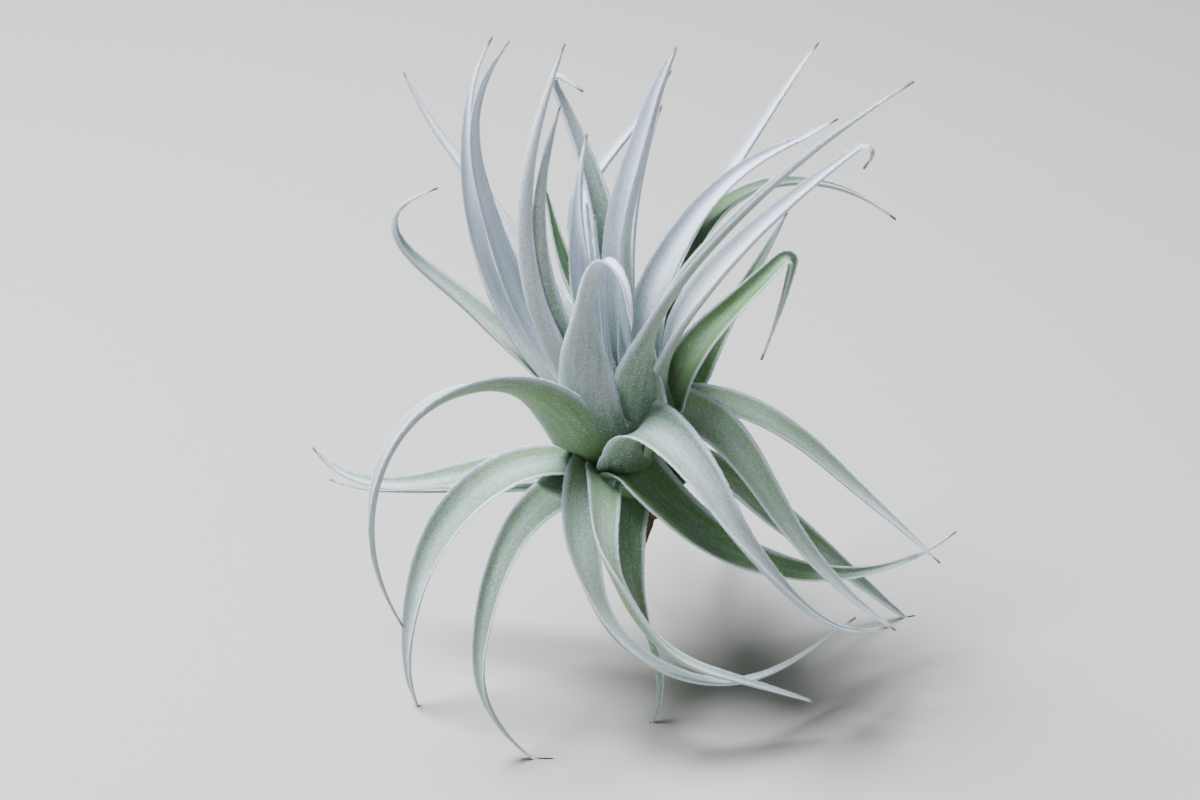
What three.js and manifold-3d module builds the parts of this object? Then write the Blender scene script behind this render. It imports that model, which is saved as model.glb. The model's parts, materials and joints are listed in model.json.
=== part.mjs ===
// An air plant as picked: a rosette of narrow channelled leaves, set one above the other round a short
// leaning stem. With no pot it stands on the drooping tips of its lowest leaves.
// Millimetres and degrees, +Z up. A heading is a compass direction seen from above: 0 is +X and 90 is +Y.

import * as THREE from "three";
import { mergeVertices } from "three/addons/utils/BufferGeometryUtils.js";
import Module from "manifold-3d";

const wasm = await Module();
wasm.setup();

// ---------------------------------------------------------------- driving dimensions

const STAND_HEIGHT = 45.5; // from the surface up to the foot of the stem
const STEM = {
  length: 28,
  footRadius: 8,
  topRadius: 2,
  footChamfer: 1.2,
  topRounding: 2,
  topFlat: 1.2, // radius left in the middle of its rounded top
  lean: 10,
  leanHeading: 180,
  sides: 24,
};
const FIRST_ROOT = 2; // height on the stem where the lowest leaf is joined
const ROOT_STEP = 0.55; // from one leaf's root up to the next
const CLEARANCE = 0.3; // gap left between neighbouring pieces

const BLADE = {
  thickness: 1.1, // along the middle of a blade, at its base
  tipThickness: 0.8,
  marginThickness: 0.65,
  tipWidth: 1.1,
  taper: 0.9, // a blade narrows as (1 - s) to this power, from its throat (s = 0) to its tip (s = 1)
  flareEnd: 0.45, // share of the blade by which a leaf's flare has faded out
  hookBend: 0.035, // half the share of the blade that a hooked tip takes to bend
  sheathSpread: 1.15, // the sheath at the root is this much wider than the blade at its throat
  lowestChannel: 55, // half-angle of the channel of the lowest leaf once it is clear of the bulb
  innermostChannel: 78, // of the innermost leaf, with even steps from leaf to leaf between the two
  tipChannel: 90, // and at every tip
  openBy: 0.35, // share of the blade over which the channel forms
  widestWrap: 80, // half-angle that a sheath wraps round the stem at most
  tightest: 2.2, // a channel's arc is as long as this many thicknesses for each radian, at least
  deepest: 0.85, // share of the channel's radius that half the thickness may take up
};
// The dried ends of the oldest leaves, shrunk back to short sheaths round the foot of the stem.
const DRY_SHEATH = {
  count: 4,
  firstHeading: -95,
  turn: 96, // from one to the next, round the stem
  rootUp: 1.3,
  out: 9.4,
  up: 0.4,
  length: 7,
  width: 6,
  rise: [-25, -50, -62],
};

// ---------------------------------------------------------------- the leaves, from the lowest up

// A leaf's throat is where its blade comes free of the bulb: its heading and distance from the stem's axis,
// and its height over the stem's foot. Then come the blade's length and flat width, its rise over the
// horizontal, its heading and its roll about its own midline, each at even steps from throat to tip.
// A rise past 90 or -90 curls the blade back. The flare is how much wider the blade is at its throat than its
// taper asks for, and a hook is the share of the blade where its tip bends, and by how much.
function leaf(throat, length, width, rise, heading, roll = [0], form = {}) {
  const plain = { flare: 0, taper: BLADE.taper, hook: [1, 0] };
  return { throat, length, width, rise, heading, roll, ...plain, ...form };
}

const LEAVES = [
  leaf([165, 19, 2], 57, 5.5, [-15, -10, -10, -10, 15], [165], [15], { flare: 0.2 }),
  leaf([-110, 8, 6], 59, 10, [-30, -60, -70, -75, -90, -110], [-100, -80, -30, 10, 10, 0], [-15],
    { flare: 0.1 }),
  leaf([10, 11, 9], 84, 15, [-25, -45, -45, -45, -45, -45], [35, 25, 20, 10, 10, 15], [10, 50, 50]),
  leaf([70, 12, 10], 80, 9.5, [-5, -40, -55, -65, -70], [70, 70, 65, 65, 60]),
  leaf([170, 18, 7], 61, 11, [5, -15, -20, 5, 60], [170], [-10, -30, -20]),
  leaf([-156, 15.5, 9.5], 88, 8.5, [10, -5, -35, -70, -85, -105, -125, -150],
    [-130, -125, -120, -125, -140, -160, -180, -180], [-40, -20, -20], { flare: 0.15 }),
  leaf([-85, 9.5, 13], 89, 15, [-35, -35, -30, -25, -15, 5, 25], [-35, -15, 10, 25, 30, 25, 30],
    [0, 40, 40, 30], { taper: 1.3 }),
  leaf([100, 12, 12], 60, 9, [20, 0, -25, -50, -60], [100]),
  leaf([-160, 11.5, 12], 89, 15, [35, -20, -55, -75, -85, -110], [-165], [-10, -40, -35, -20],
    { flare: -0.35 }),
  leaf([-135, 14, 13], 101, 9.5, [-30, -45, -65, -45, -25, -15, 0, 15, 15],
    [-110, -90, -45, -15, -5, 20, 35, 35, 35], [-25, -15, 0, 0, 0], { flare: 0.2, taper: 1.2 }),
  leaf([15, 15, 25], 73, 10.5, [-10, -30, -45, -40, -40], [20, 0, -5, -10, -20], [10, 30, 30]),
  leaf([-123, 13, 13], 84, 9.5, [-5, -35, -65, -50, -25, -25, -30], [-90, -90, -20, 0, 10, 10, 15],
    [-35, -45, -10, 10, 20]),
  leaf([-10, 11, 26], 72, 11.5, [-5, -40, -55, -50, -40, -35], [0, -35, -30, -20, -15, -5], [35]),
  leaf([-85, 10, 21.5], 104, 12, [85, -15, -55, -55, -50, -35, -15], [-65, -50, -35, 5, 30, 45, 45],
    [25, 20, 15, 15, 20], { flare: 0.25, taper: 1 }),
  leaf([-140, 13, 22], 104, 10.5, [60, 50, 25, -10, -50, -75, -90, -105, -115],
    [-155, -150, -150, -155, -155, -160, -175, -155, -150], [60, 40, 10, 0, 0], { flare: 0.45 }),
  leaf([120, 11, 17], 42, 9, [40, 15, -15, -40], [120]),
  leaf([45, 23.5, 25], 43, 8, [40, 40, 40, 40, 45], [50]),
  leaf([90, 9, 20], 60, 9, [45, 20, -10, -40, -60], [90]),
  leaf([-125, 12, 34], 58, 9.6, [80, 80, 85, 80, 75, 50, -10, -65, -75],
    [-110, -100, -75, -55, -55, -60, -60, -65, -75], [0], { flare: 0.5 }),
  leaf([165, 12, 26], 70, 13, [40, 35, 35, 40, 35, 40, 65, 145, 155],
    [155, 155, 155, 160, 165, 170, 180, 165, 170]),
  leaf([40, 9, 30], 94, 11, [60, 45, 30, 0, -25, -45], [80, 60, 50, 25, 20, 20], [0, 0, 15]),
  leaf([140, 9, 32], 77, 10.5, [50, 45, 50, 40, 60], [140, 135, 145, 145, 140]),
  leaf([165, 10.5, 24], 89, 10, [40, 55, 70, 75, 75, 55], [170, 165, 155, 115, 70, 20], [0],
    { flare: 0.2 }),
  leaf([0, 11.5, 28], 67, 9.5, [80, 60, 45, 45, 45, 40, 35], [10], [20, 45, 45, 20],
    { flare: 0.2, hook: [0.62, -145] }),
  leaf([110, 8, 26], 40, 8.5, [50, 30, 10, -15, -40], [110]),
  leaf([170, 9, 25], 91, 10, [55, 60, 70, 75, 80, 105, 130], [170, 170, 170, 180, 185, 165, 165],
    [0, -40, -60, -60, -60]),
  leaf([55, 7.5, 30], 87, 11, [60, 45, 40, 40, 40], [80, 55, 40, 45, 40]),
  leaf([110, 7.5, 41], 34, 8.5, [50, 55, 65, 65, 70], [150, 150, 135, 120, 130]),
  leaf([-160, 9, 25], 90, 11, [65, 70, 85, 105, 115], [-160, -160, -150, -155, -155], [0, 25, 25],
    { flare: 0.5 }),
  leaf([-65, 9, 27], 115, 9.5, [80, 70, 55, 50, 45, 40], [-120, -45, -35, -35, -35, -30],
    [0, 20, 25, 20, 10], { flare: 0.35 }),
  leaf([-25, 9.5, 30], 86, 13.5, [85, 70, 55, 50, 45, 40], [-55, -30, -15, -20, -15, -15], [20, 40, 40],
    { hook: [0.94, -160] }),
  leaf([80, 6, 30], 76, 12, [70, 65, 55, 40, 40, 65], [150, 140, 120, 40, 30, 20]),
  leaf([-145, 7, 30], 71, 10.5, [65, 70, 80, 100, 115], [-160, -165, -160, -140, -145], [25]),
  leaf([30, 5.5, 30], 77, 13, [85, 75, 55, 50, 35, 20, 30], [90, 60, 40, 25, 20, 10, 10],
    [0, 25, 30, 30]),
  leaf([115, 6, 30], 76, 12.8, [85, 80, 80, 65, 60, 60, 65], [60, 90, 110, 125, 135, 145, 150], [0],
    { taper: 0.75, hook: [0.9, 140] }),
  leaf([150, 5, 30], 58, 11, [75, 80, 85, 85, 75], [170, 170, 120, 60, 30], [-20]),
  leaf([30, 4, 30], 80, 18, [100, 100, 90, 75, 75, 65], [20, 20, 5, 10, 15, 10], [15],
    { flare: -0.3, taper: 0.65 }),
  leaf([-135, 3, 28], 45, 2.4, [95, 95, 95, 95, 95], [0], [100]),
  leaf([45, 2.5, 30], 64, 6.5, [80, 85, 80, 70], [110, 80, 25, 20]),
  leaf([180, 2, 27], 48, 2.4, [80, 80, 85, 85, 85], [180], [-70]),
];

// ---------------------------------------------------------------- directions and shares

const radians = THREE.MathUtils.degToRad;
const lerp = THREE.MathUtils.lerp;

// The value of a list of even steps at share s of its length, along straight lines between the steps.
function alongSteps(list, s) {
  const at = s * (list.length - 1);
  const step = Math.min(Math.floor(at), list.length - 2);
  return list.length === 1 ? list[0] : lerp(list[step], list[step + 1], at - step);
}

function direction(rise, heading) {
  const level = Math.cos(radians(rise));
  return new THREE.Vector3(
    level * Math.cos(radians(heading)),
    level * Math.sin(radians(heading)),
    Math.sin(radians(rise)),
  );
}

// The point at a height over the stem's foot, out from its leaning axis.
function aboutStem(heading, out, up) {
  const drift = up * Math.tan(radians(STEM.lean));
  return direction(0, STEM.leanHeading).multiplyScalar(drift)
    .add(direction(0, heading).multiplyScalar(out))
    .add(new THREE.Vector3(0, 0, up));
}

const stemRadius = (up) => lerp(STEM.footRadius, STEM.topRadius, up / STEM.length);

// ---------------------------------------------------------------- a leaf's midline and cross-sections

const SHEATH_STATIONS = 3;
const STATION_LENGTH = 14; // a blade has a station for each such length of it
const STATION_TURN = 25; // and one more for each such turn of its midline, in degrees
const STRIDES = 6; // short straight strides that make up the midline between two stations
const TURN_SAMPLES = 16; // places along a blade where its turn is measured

// The flat width of a leaf's blade at share s of it.
function bladeWidth(row, s) {
  const flare = 1 + row.flare * (1 - THREE.MathUtils.smoothstep(s, 0, BLADE.flareEnd));
  return Math.max(row.width * (1 - s) ** row.taper * flare, BLADE.tipWidth);
}

// The direction of a leaf's midline at share s of its blade.
function towards(row, s) {
  const [start, turn] = row.hook;
  const bent = THREE.MathUtils.smoothstep(s, start - BLADE.hookBend, start + BLADE.hookBend);
  return direction(alongSteps(row.rise, s) + turn * bent, alongSteps(row.heading, s));
}

// The number of stations that a blade's length and its bends ask for.
function bladeStations(row) {
  let turn = 0;
  for (let i = 0; i < TURN_SAMPLES; i++) {
    const [from, to] = [i, i + 1].map((k) => towards(row, k / TURN_SAMPLES));
    turn += THREE.MathUtils.radToDeg(from.angleTo(to));
  }
  return Math.round(row.length / STATION_LENGTH + turn / STATION_TURN);
}

// The stations down a leaf: at each, its place, its tangent, its heading and roll, the flat width,
// the half-angle of the channel, how far the channel is centred on the midline, and the thickness. rank is 0
// for the lowest leaf and 1 for the innermost.
function stations(row, rootUp, rank) {
  const [around, out, throatUp] = row.throat;
  const root = aboutStem(around, stemRadius(rootUp) + CLEARANCE, rootUp);
  const throat = aboutStem(around, out, throatUp);
  const bend = throat.clone().addScaledVector(towards(row, 0), -root.distanceTo(throat) / 2);
  const sheath = new THREE.QuadraticBezierCurve3(root, bend, throat);
  const throatWidth = bladeWidth(row, 0);
  const list = [];
  for (let i = 0; i < SHEATH_STATIONS; i++) {
    const q = i / SHEATH_STATIONS;
    const width = throatWidth * lerp(BLADE.sheathSpread, 1, q);
    const wrapRadius = lerp(stemRadius(rootUp), out, q);
    list.push({
      at: sheath.getPoint(q),
      tangent: sheath.getTangent(q),
      heading: lerp(around, row.heading[0], q),
      roll: row.roll[0] * q,
      width,
      halfAngle: Math.min(width / 2 / wrapRadius, radians(BLADE.widestWrap)),
      centred: 0,
      thickness: BLADE.thickness,
    });
  }
  const at = throat.clone();
  const count = bladeStations(row);
  const stride = row.length / count / STRIDES;
  const wrap = Math.min(throatWidth / 2 / out, radians(BLADE.widestWrap));
  const channel = lerp(BLADE.lowestChannel, BLADE.innermostChannel, rank);
  for (let i = 0; i <= count; i++) {
    const s = i / count;
    const forming = Math.min(s / BLADE.openBy, 1);
    const closing = Math.max((s - BLADE.openBy) / (1 - BLADE.openBy), 0);
    list.push({
      at: at.clone(),
      tangent: towards(row, s),
      heading: alongSteps(row.heading, s),
      roll: alongSteps(row.roll, s),
      width: bladeWidth(row, s),
      halfAngle: lerp(wrap, radians(lerp(channel, BLADE.tipChannel, closing)), forming),
      centred: forming,
      thickness: lerp(BLADE.thickness, BLADE.tipThickness, s),
    });
    for (let k = 0; k < STRIDES && i < count; k++) {
      at.addScaledVector(towards(row, (i + (k + 0.5) / STRIDES) / count), stride);
    }
  }
  return list;
}

const ACROSS = [-1, -0.36, 0.36, 1]; // places across a blade, from one margin to the other

// One cross-section: an arc of the channel, its back face from margin to margin and then its inner face
// back. swell moves it outwards on every side.
function crossSection(station, swell) {
  const across = direction(0, station.heading + 90);
  across.addScaledVector(station.tangent, -across.dot(station.tangent)).normalize();
  across.applyAxisAngle(station.tangent, radians(station.roll));
  const inward = new THREE.Vector3().crossVectors(station.tangent, across);
  const halfAngle = Math.min(station.halfAngle, station.width / (BLADE.tightest * station.thickness));
  const radius = station.width / 2 / halfAngle;
  const wide = halfAngle + swell / radius;
  const sink = station.centred * radius * (1 - Math.cos(halfAngle)) / 2;
  const face = (u, side) => {
    const angle = wide * u;
    const half = lerp(station.thickness, BLADE.marginThickness, Math.abs(u)) / 2 + swell;
    const from = radius - side * Math.min(half, BLADE.deepest * radius);
    return station.at.clone()
      .addScaledVector(across, from * Math.sin(angle))
      .addScaledVector(inward, radius - sink - from * Math.cos(angle));
  };
  return [...ACROSS.map((u) => face(u, -1)), ...ACROSS.toReversed().map((u) => face(u, 1))];
}

// The closed skin over a list of cross-sections, with the two faces of the blade split alike.
function skin(sections) {
  const around = sections[0].length;
  const faces = [];
  const corner = (i, j) => i * around + (j % around);
  for (let i = 0; i + 1 < sections.length; i++) {
    for (let j = 0; j < around; j++) {
      const back = j < around / 2;
      const [a, b, c, d] = [corner(i, j), corner(i, j + 1), corner(i + 1, j + 1), corner(i + 1, j)];
      faces.push(...(back ? [a, b, c, a, c, d] : [a, b, d, b, c, d]));
    }
  }
  const last = sections.length - 1;
  for (let j = 0; j < around / 2 - 1; j++) {
    const k = around - 1 - j;
    faces.push(corner(0, j), corner(0, k), corner(0, j + 1));
    faces.push(corner(0, j + 1), corner(0, k), corner(0, k - 1));
    faces.push(corner(last, j), corner(last, j + 1), corner(last, k));
    faces.push(corner(last, j + 1), corner(last, k - 1), corner(last, k));
  }
  return solid(sections.flat().flatMap((p) => p.toArray()), faces);
}

function solid(positions, faces) {
  return new wasm.Manifold(new wasm.Mesh({
    numProp: 3,
    vertProperties: new Float32Array(positions),
    triVerts: new Uint32Array(faces),
  }));
}

// A leaf's body, or with swell the same body moved outwards on every side.
function leafBody(list, swell = 0) {
  const ends = [list[0], list.at(-1)].map((end, i) => ({
    ...end,
    at: end.at.clone().addScaledVector(end.tangent, i === 0 ? -swell : swell),
  }));
  return skin([ends[0], ...list.slice(1, -1), ends[1]].map((station) => crossSection(station, swell)));
}

// ---------------------------------------------------------------- the stem and the surface under the plant

function threeSolid(geometry) {
  const bare = geometry.clone();
  bare.deleteAttribute("normal");
  bare.deleteAttribute("uv");
  const merged = mergeVertices(bare, 1e-4);
  return solid(merged.attributes.position.array, merged.index.array);
}

// A short cone with a chamfered flat foot and a rounded top, turned round its own axis and then leaned.
function stemBody(swell = 0) {
  const shoulder = STEM.length - STEM.topRounding;
  const profile = [
    [0, -swell],
    [STEM.footRadius - STEM.footChamfer + swell, -swell],
    [STEM.footRadius + swell, STEM.footChamfer],
    [stemRadius(shoulder) + swell, shoulder],
    [STEM.topFlat + swell, STEM.length + swell],
    [0, STEM.length + swell],
  ];
  const outline = profile.map(([radius, up]) => new THREE.Vector2(radius, up));
  const turned = new THREE.LatheGeometry(outline, STEM.sides);
  turned.rotateX(Math.PI / 2);
  const lean = new THREE.Matrix4().set(
    1, 0, Math.cos(radians(STEM.leanHeading)) * Math.tan(radians(STEM.lean)), 0,
    0, 1, 0, 0,
    0, 0, 1, 0,
    0, 0, 0, 1,
  );
  turned.applyMatrix4(lean);
  return threeSolid(turned);
}

const GROUND = 400; // side of the block that stands for everything under the surface
const groundBlock = new THREE.BoxGeometry(GROUND, GROUND, GROUND);
groundBlock.translate(0, 0, -STAND_HEIGHT - GROUND / 2);

// ---------------------------------------------------------------- pieces cut clear of each other

const SLIVER = 0.1; // edges shorter than this are merged after a cut
const NICK = 0.45; // size of the nick that opens a place where a cut body touches itself

// A place where two corners of a body's skin lie on each other, or nothing.
function pinchOf(body) {
  const { vertProperties } = body.getMesh();
  const seen = new Set();
  for (let i = 0; i < vertProperties.length; i += 3) {
    const corner = vertProperties.slice(i, i + 3);
    const key = corner.map((v) => Math.round(v * 1000)).join();
    if (seen.has(key)) return corner;
    seen.add(key);
  }
  return null;
}

// What is left when the swollen neighbours are cut away, without loose scraps and without pinches.
function clearOf(body, neighbours) {
  const larger = (one, other) => (other.volume() > one.volume() ? other : one);
  const main = (cut) => cut.simplify(SLIVER).decompose().reduce(larger);
  let rest = main(neighbours.reduce((left, neighbour) => left.subtract(neighbour), body));
  for (let pinch = pinchOf(rest); pinch; pinch = pinchOf(rest)) {
    const nick = new THREE.OctahedronGeometry(NICK).translate(...pinch);
    rest = main(rest.subtract(threeSolid(nick)));
  }
  return rest;
}

const COLOURS = {
  stem: 0x6f6a4e,
  outerLeaf: 0x7f9a83,
  innerLeaf: 0xb9c9c6,
  drySheath: 0x8a6b4a,
};
const ROUGHNESS = { stem: 0.9, leaf: 0.75, drySheath: 0.95 };

function piece(name, body, colour, roughness) {
  const { vertProperties, triVerts } = body.getMesh();
  const geometry = new THREE.BufferGeometry();
  geometry.setAttribute("position", new THREE.BufferAttribute(vertProperties, 3));
  geometry.setIndex(new THREE.BufferAttribute(triVerts, 1));
  const look = { color: colour, roughness, metalness: 0, flatShading: true };
  const mesh = new THREE.Mesh(geometry, new THREE.MeshStandardMaterial(look));
  mesh.name = name;
  return mesh;
}

const numbered = (word, i) => `${word}_${String(i + 1).padStart(2, "0")}`;

// ---------------------------------------------------------------- the whole plant

const plant = new THREE.Group();
plant.add(piece("stem", stemBody(), COLOURS.stem, ROUGHNESS.stem));

// The innermost leaf keeps its whole shape, and each piece further out is cut clear of those inside it.
const taken = [stemBody(CLEARANCE), threeSolid(groundBlock)];
function growLeaf(name, row, rootUp, rank, colour, roughness) {
  const list = stations(row, rootUp, rank);
  plant.add(piece(name, clearOf(leafBody(list), taken), colour, roughness));
  taken.push(leafBody(list, CLEARANCE));
}

const outer = new THREE.Color(COLOURS.outerLeaf);
const inner = new THREE.Color(COLOURS.innerLeaf);
for (let i = LEAVES.length - 1; i >= 0; i--) {
  const rank = i / (LEAVES.length - 1);
  const colour = outer.clone().lerp(inner, rank);
  growLeaf(numbered("leaf", i), LEAVES[i], FIRST_ROOT + i * ROOT_STEP, rank, colour, ROUGHNESS.leaf);
}
for (let i = 0; i < DRY_SHEATH.count; i++) {
  const { length, width, rise, out, up, rootUp } = DRY_SHEATH;
  const heading = DRY_SHEATH.firstHeading + i * DRY_SHEATH.turn;
  const row = leaf([heading, out, up], length, width, rise, [heading]);
  growLeaf(numbered("dry_sheath", i), row, rootUp, 0, COLOURS.drySheath, ROUGHNESS.drySheath);
}

// The origin is under the middle of the whole plant, on the surface.
const middle = new THREE.Box3().setFromObject(plant).getCenter(new THREE.Vector3());
plant.position.set(-middle.x, -middle.y, STAND_HEIGHT);

export default plant;
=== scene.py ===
"""An air plant as picked: narrow channelled leaves in a rosette round a short stem, with silvery scales.

Every leaf of the model is replaced by a finer closed surface on the same midline and section, and over it
lie the scales that give such a plant its frosted look. Lengths in the tables are millimetres and angles
are degrees. A heading is a compass direction seen from above: 0 is +X and 90 is +Y.
"""

import json
import math

import bpy
import numpy as np
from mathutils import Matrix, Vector


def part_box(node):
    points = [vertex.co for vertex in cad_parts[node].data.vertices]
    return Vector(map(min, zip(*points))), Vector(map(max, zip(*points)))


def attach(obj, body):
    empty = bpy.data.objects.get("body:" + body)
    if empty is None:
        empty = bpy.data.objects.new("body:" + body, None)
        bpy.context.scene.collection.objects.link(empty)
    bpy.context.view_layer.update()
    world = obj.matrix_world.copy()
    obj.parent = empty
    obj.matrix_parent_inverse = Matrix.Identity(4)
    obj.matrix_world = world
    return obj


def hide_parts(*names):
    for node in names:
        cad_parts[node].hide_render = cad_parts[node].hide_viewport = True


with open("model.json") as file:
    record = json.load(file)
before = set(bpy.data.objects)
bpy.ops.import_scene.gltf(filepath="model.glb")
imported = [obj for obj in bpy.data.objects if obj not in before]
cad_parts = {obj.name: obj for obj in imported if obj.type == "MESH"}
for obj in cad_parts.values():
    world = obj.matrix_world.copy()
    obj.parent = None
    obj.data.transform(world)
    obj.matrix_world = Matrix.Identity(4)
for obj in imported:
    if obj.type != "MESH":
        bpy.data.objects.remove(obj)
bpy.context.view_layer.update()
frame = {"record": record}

MM = 0.001  # the tables are in millimetres and the scene in metres

# ---------------------------------------------------------------- the plant's sizes

STEM = {
    "length": 28,
    "foot_radius": 8,
    "top_radius": 2,
    "foot_chamfer": 1.2,
    "top_rounding": 2,
    "top_flat": 0.6,  # radius left in the middle of its rounded top
    "lean": 10,
    "lean_heading": 180,
}
FIRST_ROOT = 2.0  # height on the stem where the lowest leaf is joined
ROOT_STEP = 0.55  # from one leaf's root up to the next

BLADE = {
    "thickness": 0.95,  # along the middle of a blade, from its root to its throat
    "tip_thickness": 0.6,
    "margin_power": 0.4,  # thickness falls off as (1 - u^2) to this power, from the middle to the margins
    "tip_width": 0.45,
    "flare_end": 0.45,  # share of the blade by which a leaf's flare has faded out
    "hook_bend": 0.035,  # half the share of the blade that a hooked tip takes to bend
    "sheath_spread": 1.15,  # the sheath at the root is this much wider than the blade at its throat
    "channel": (55, 78),  # half-angle clear of the bulb, on the lowest and the innermost leaf
    "tip_channel": 90,
    "open_by": 0.35,  # share of the blade over which the channel forms
    "widest_wrap": 80,  # half-angle that a sheath wraps round the stem at most
    "tightest": 2.2,  # a channel's arc is as long as this many thicknesses for each radian, at least
    "deepest": 0.85,  # share of the channel's radius that half the thickness may take up
    "rounded_from": 0.88,  # share of the half-width from which a face turns round into the margin
}
# The dried ends of the oldest leaves, shrunk back to short sheaths round the foot of the stem.
DRY_SHEATH = {
    "count": 4,
    "first_heading": -95,
    "turn": 96,
    "root_up": 1.3,
    "out": 9.4,
    "up": 0.4,
    "length": 7,
    "width": 6,
    "rise": [-25, -50, -62],
    "thickness": 0.5,
    "narrowing": 0.45,  # share of its width that is gone at its end
    "torn_from": 0.45,  # share of its length from which its end is torn
    "torn_depth": 1.4,
}

# How the silver felt lies on a leaf, as amounts from 0 (bare green skin) to 1 (closed felt). face: the
# upper face beside its middle; middle: along its middle; back: the back; whiten: the share of the blade
# from which it turns silver all over; fresh_glow: how yellow and bright the green skin is, partly its own
# fresh colour and partly painted light shining through the leaf; dusk: how grey and purple the back is.
FINISHES = {
    "old": dict(face=0.2, middle=0.35, back=0.3, whiten=0.8, fresh_glow=0.15, dusk=0.0),
    "banded": dict(face=0.35, middle=0.6, back=0.4, whiten=0.6, fresh_glow=0.2, dusk=0.0),
    "pale": dict(face=0.55, middle=0.7, back=0.35, whiten=0.45, fresh_glow=0.35, dusk=0.0),
    "light": dict(face=0.45, middle=0.6, back=0.4, whiten=0.65, fresh_glow=0.65, dusk=0.0),
    "green": dict(face=0.12, middle=0.35, back=0.4, whiten=0.7, fresh_glow=0.3, dusk=0.0),
    "fresh_glow": dict(face=0.05, middle=0.1, back=0.1, whiten=1.2, fresh_glow=0.7, dusk=0.0),
    "silver": dict(face=0.65, middle=0.9, back=0.5, whiten=0.45, fresh_glow=0.1, dusk=0.1),
    "blue": dict(face=0.45, middle=0.75, back=0.45, whiten=0.4, fresh_glow=0.0, dusk=0.0),
    "sage": dict(face=0.35, middle=0.5, back=0.5, whiten=0.7, fresh_glow=0.1, dusk=0.3),
    "dusky": dict(face=0.7, middle=0.9, back=0.75, whiten=0.6, fresh_glow=0.0, dusk=0.9),
}


def leaf(finish, throat, length, width, rise, heading, roll=(0,), flare=0, taper=0.9, hook=(1, 0)):
    """One leaf's row, with the values that most leaves share."""
    return dict(finish=FINISHES[finish], throat=throat, length=length, width=width, rise=rise,
                heading=heading, roll=roll, flare=flare, taper=taper, hook=hook)


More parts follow.
